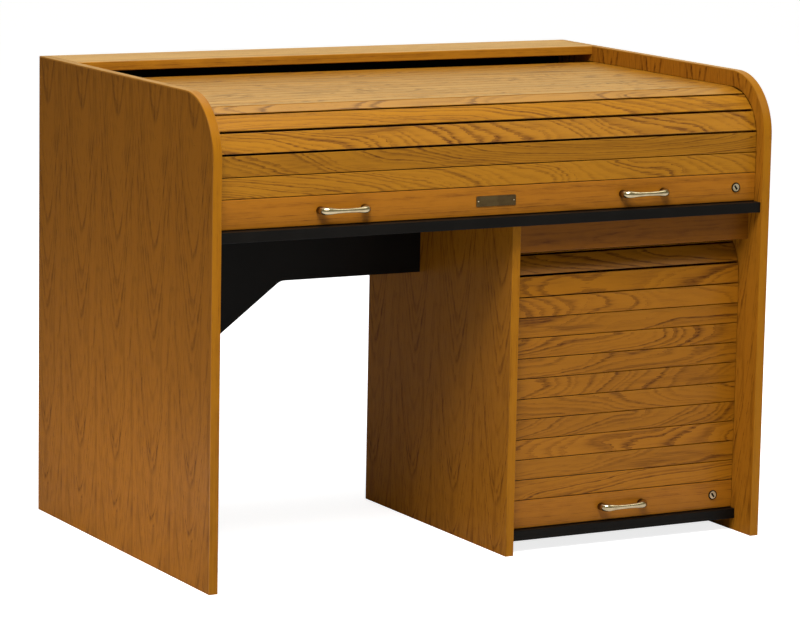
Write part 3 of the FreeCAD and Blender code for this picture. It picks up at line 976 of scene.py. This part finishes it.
@dataclass
class NamePlate:
    """Bare plate with a raised rim and two domed pins."""

    node: str = "roll_name_plate"
    body: str = "roll_front"
    slot: str = "dark_bronze"
    corner: float = 0.002
    corner_steps: int = 4
    lip: float = 0.0003
    rim: float = 0.0013
    sink: float = 0.0005
    ease: float = 0.00025
    sharp: float = 35.0
    pin_radius: float = 0.0015
    pin_height: float = 0.0008
    pin_inset: float = 0.005
    pin_sides: int = 20
    dome: tuple[float, ...] = (0.97, 0.9, 0.76, 0.5)

    def model(self) -> bpy.types.Object:
        """Shapes a block to a rimmed plate and adds the pins.

        Returns:
            The plate.
        """
        low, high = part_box(self.node)
        front = low.y + self.pin_height
        size = Vector((high.x - low.x, high.y - front, high.z - low.z))
        middle = Vector(((low.x + high.x) / 2, (front + high.y) / 2, (low.z + high.z) / 2))
        bpy.ops.object.select_all(action="DESELECT")
        bpy.ops.mesh.primitive_cube_add(size=1.0, location=middle, scale=size)
        plate = bpy.context.object
        bpy.ops.object.transform_apply(location=True, rotation=True, scale=True)
        bpy.ops.object.mode_set(mode="EDIT")
        select_only(plate, "EDGE", lambda spot, run: abs(run.y) > 0.9)
        bpy.ops.mesh.bevel(offset=self.corner, segments=self.corner_steps)
        select_only(plate, "FACE", lambda spot, normal: normal.y < -0.9)
        bpy.ops.mesh.inset(thickness=self.lip, depth=0.0)
        bpy.ops.mesh.inset(thickness=self.rim, depth=0.0)
        bpy.ops.mesh.extrude_region_move(TRANSFORM_OT_translate={"value": (0.0, self.sink, 0.0)})
        select_only(plate, "EDGE", lambda spot, run: spot.y < front + MERGE and self.outer(spot, low, high))
        bpy.ops.mesh.bevel(offset=self.ease, segments=2)
        for side in (low.x + self.pin_inset, high.x - self.pin_inset):
            self.pin(Vector((side, front + self.sink, middle.z)))
        close_piece(plate, "name_plate_bare", self.sharp)
        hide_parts(self.node)
        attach(plate, self.body)
        return plate

    def build(self) -> None:
        """Models the plate and gives the plate and its pins their metals."""
        plate = self.model()
        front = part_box(self.node)[0].y + self.pin_height
        dress(plate, BRONZE.material("plate_bronze"))
        plate.data.materials.append(LOCK_BRASS.material("plate_pin_brass"))
        for face in plate.data.polygons:
            face.material_index = 1 if face.center.y < front - NEAR else 0

    @staticmethod
    def outer(spot: Vector, low: Vector, high: Vector) -> bool:
        """Says whether a point lies on the plate's outline."""
        aside = min(spot.x - low.x, high.x - spot.x)
        return min(aside, spot.z - low.z, high.z - spot.z) < NEAR

    def pin(self, spot: Vector) -> None:
        """Adds one domed pin in edit mode.

        Args:
            spot: Middle of its foot.
        """
        bpy.ops.mesh.select_all(action="DESELECT")
        bpy.ops.mesh.primitive_circle_add(vertices=self.pin_sides, radius=self.pin_radius, fill_type="NGON",
                                          location=spot, rotation=(QUARTER, 0.0, 0.0))
        rise = (self.pin_height + self.sink) / len(self.dome)
        for step, shrink in enumerate(self.dome, start=1):
            there = spot - Vector((0.0, rise * step, 0.0))
            bpy.ops.mesh.extrude_region_move(TRANSFORM_OT_translate={"value": (0.0, -rise, 0.0)})
            bpy.ops.transform.resize(value=(shrink, 1.0, shrink), center_override=there)


@dataclass
class Casework:
    """Fixed panels and boards of the desk."""

    nodes: dict[str, bpy.types.Object]
    panels: tuple[str, ...] = ("left_end_panel", "right_end_panel", "pedestal_side")
    # This panel takes the darker veneer copy, which is painted shade.
    shaded_panel: str = "left_end_panel"
    leaf_shift: float = 0.05
    bands: tuple[str, ...] = ("left_edge_band", "right_edge_band", "pedestal_edge_band")
    black: tuple[str, ...] = ("work_surface", "edge_strips", "pedestal_base", "modesty_panel", "back_panel",
                              "inner_back", "pedestal_back")
    cap_seed: float = 11.0
    rail_seed: float = 16.3
    dowel_seed: float = 3.0

    def dress(self) -> None:
        """Gives each board its finish."""
        for number, node in enumerate(self.panels):
            veneer = VeneerDresser(SHADED_PANEL_OAK if node == self.shaded_panel else PANEL_OAK)
            dress(self.nodes[node], veneer.material("veneer_" + node, self.leaf_shift * number))
        for node in self.bands:
            dress(self.nodes[node], BandDresser(BAND_OAK).material("oak_" + node, *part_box(node)))
        # The cap's oak is the lighter copy, with painted light.
        BoardDresser(LIT_CAP_OAK).dress_node("top_cap", self.nodes["top_cap"], self.cap_seed)
        BoardDresser(SHADED_OAK).dress_node("pedestal_rail", self.nodes["pedestal_rail"], self.rail_seed)
        BoardDresser(BAND_OAK).dress_node("board_dowels", self.nodes["board_dowels"], self.dowel_seed)
        black = BLACK_BOARD.material("black_board")
        for node in self.black:
            dress(self.nodes[node], black)
        dress(self.nodes["strike_plates"], ZINC.material("zinc_plate"))


@dataclass
class Curtain:
    """Roll top or door: lead rail, slats and fittings."""

    name: str
    nodes: dict[str, bpy.types.Object]
    oak: OakFinish
    seed: float
    seed_step: float = 1.93
    pitch: float = 0.044

    def dress(self) -> None:
        """Gives the slats, the rail and the fittings their finishes."""
        slats = sorted(node for node in self.nodes if node.startswith(self.name) and "slat" in node)
        row = BoardDresser(self.oak, self.pitch)
        for number, node in enumerate(slats):
            row.dress_node(node, self.nodes[node], self.seed + self.seed_step * number)
        rail = self.name + "_lead_rail"
        BoardDresser(RAIL_OAK).dress_node(rail, self.nodes[rail], self.seed)
        pulls = BowPull().replace(self.name + "_pulls", self.name + "_front")
        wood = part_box(self.name + "_pulls")[1].y
        dress(pulls, replace(NICKEL, wood=wood).material(self.name + "_pull_nickel"))
        for node in (self.name + "_pull_screws", self.name + "_lock_cam"):
            dress(self.nodes[node], ZINC.material(node + "_finish"))
        for node in (self.name + "_lock_barrel", self.name + "_lock_plug"):
            dress(self.nodes[node], LockFinish.for_node(node).material(node + "_finish"))


@dataclass(frozen=True)
class Lamp:
    """Soft box that the camera doesn't see."""

    name: str
    place: Place
    target: Place
    size: Span
    watts: float

    def hang(self) -> None:
        """Adds the lamp to the scene."""
        data = bpy.data.lights.new(self.name, "AREA")
        data.shape = "RECTANGLE"
        data.size, data.size_y = self.size
        data.energy = self.watts
        lamp = bpy.data.objects.new(self.name, data)
        lamp.location = self.place
        lamp.visible_camera = False
        lamp.rotation_euler = (Vector(self.target) - Vector(self.place)).to_track_quat("-Z", "Y").to_euler()
        bpy.context.scene.collection.objects.link(lamp)


@dataclass
class Studio:
    """Floor, lights, world and camera."""

    camera_place: Place = (-3.8212, -6.9536, 1.7885)
    yaw: float = 0.5027
    pitch: float = 0.1657
    roll: float = 0.019
    focal_px: float = 3657.6
    image_width: int = 800
    sensor: float = 36.0
    far: float = 200.0
    floor_half: float = 40.0
    floor_grey: Colour = (0.86, 0.86, 0.86)
    floor_rough: float = 0.9
    floor_gloss: float = 0.1
    floor_glow: float = 0.8
    ambient: float = 0.21
    white: Colour = (1.0, 1.0, 1.0)
    mirrored: Colour = (1.0, 1.0, 0.62)
    mirrored_span: Span = (0.16, 1.0)
    mirrored_edge: Span = (-0.2, 0.7)
    lamps: tuple[Lamp, ...] = (
        Lamp("key", (-1.25, -2.2, 4.0), (0.0, -0.2, 0.6), (2.0, 2.0), 176.0),
        Lamp("fill", (2.6, -2.6, 4.0), (0.0, 0.0, 0.5), (2.4, 2.4), 37.0),
        Lamp("top", (0.4, 1.2, 4.0), (0.0, 0.0, 0.8), (2.6, 2.6), 40.0),
        Lamp("side", (3.4, 0.6, 2.2), (0.67, 0.0, 0.5), (1.6, 1.6), 28.0),
        Lamp("low", (-1.2, -0.05, 0.06), (-0.67, -0.05, 0.1), (1.0, 0.1), 2.6),
    )

    def camera(self) -> None:
        """Puts the camera at the photograph's viewpoint."""
        level = math.cos(self.pitch)
        ahead = Vector((math.sin(self.yaw) * level, math.cos(self.yaw) * level, -math.sin(self.pitch)))
        right = Vector((math.cos(self.yaw), -math.sin(self.yaw), 0.0))
        above = right.cross(ahead)
        turned_right = right * math.cos(self.roll) + above * math.sin(self.roll)
        turned_up = above * math.cos(self.roll) - right * math.sin(self.roll)
        data = bpy.data.cameras.new("camera")
        data.sensor_width = self.sensor
        data.lens = self.focal_px * self.sensor / self.image_width
        data.clip_end = self.far
        camera = bpy.data.objects.new("camera", data)
        frame = Matrix((turned_right, turned_up, -ahead)).transposed().to_4x4()
        frame.translation = Vector(self.camera_place)
        camera.matrix_world = frame
        bpy.context.scene.collection.objects.link(camera)
        bpy.context.scene.camera = camera

    def world(self) -> None:
        """Makes the surroundings white to look at, brighter behind the desk in reflections, soft as light."""
        world = bpy.data.worlds.new("studio")
        bpy.context.scene.world = world
        world.use_nodes = True
        wiring = Wiring(world.node_tree)
        path = wiring.add("ShaderNodeLightPath").outputs
        _, back, _ = wiring.parts(wiring.add("ShaderNodeTexCoord").outputs["Generated"])
        behind = wiring.stretch(wiring.step(back, *self.mirrored_edge), *self.mirrored_span)
        mirrored = wiring.math("MULTIPLY", path["Is Glossy Ray"], behind)
        seen = wiring.math("MAXIMUM", path["Is Camera Ray"], path["Is Transmission Ray"])
        strength = wiring.math("MAXIMUM", seen, wiring.math("MAXIMUM", mirrored, self.ambient))
        colour = wiring.mix(path["Is Glossy Ray"], self.white, self.mirrored)
        wiring.fill(world.node_tree.nodes["Background"], {"Strength": strength, "Color": colour})

    def floor(self) -> None:
        """Lays a pale floor that keeps the desk's shadow."""
        bpy.ops.object.select_all(action="DESELECT")
        bpy.ops.mesh.primitive_plane_add(size=2.0 * self.floor_half)
        floor = bpy.context.object
        floor.name = "floor"
        material, wiring = new_material("floor_pale")
        shader = wiring.fill(wiring.shader, {"Base Color": self.floor_grey, "Roughness": self.floor_rough,
                                             "Specular IOR Level": self.floor_gloss})
        path = wiring.add("ShaderNodeLightPath").outputs
        glow = wiring.add("ShaderNodeEmission")
        wiring.feed(glow.inputs["Strength"], wiring.math("MULTIPLY", path["Is Camera Ray"], self.floor_glow))
        both = wiring.add("ShaderNodeAddShader")
        wiring.feed(both.inputs[0], shader.outputs[0])
        wiring.feed(both.inputs[1], glow.outputs[0])
        wiring.feed(wiring.tree.nodes["Material Output"].inputs["Surface"], both.outputs[0])
        dress(floor, material)

    def build(self) -> None:
        """Sets up everything around the desk."""
        self.camera()
        self.world()
        self.floor()
        for lamp in self.lamps:
            lamp.hang()
        bpy.context.scene.view_settings.view_transform = "Standard"
        LOG.info("studio built with %d lamps", len(self.lamps))


def main() -> None:
    """Builds the desk's looks in order."""
    logging.basicConfig(level=logging.INFO)
    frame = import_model()
    nodes = frame["nodes"]
    Studio().build()
    Casework(nodes).dress()
    # The roll takes the lit copy of the slat oak and the door the shaded one, as painted light and painted
    # shade.
    Curtain("roll", nodes, SLAT_OAK, 2.0).dress()
    Curtain("door", nodes, SHADED_DOOR_OAK, 61.0).dress()
    NamePlate().build()


if __name__ == "__main__":
    main()
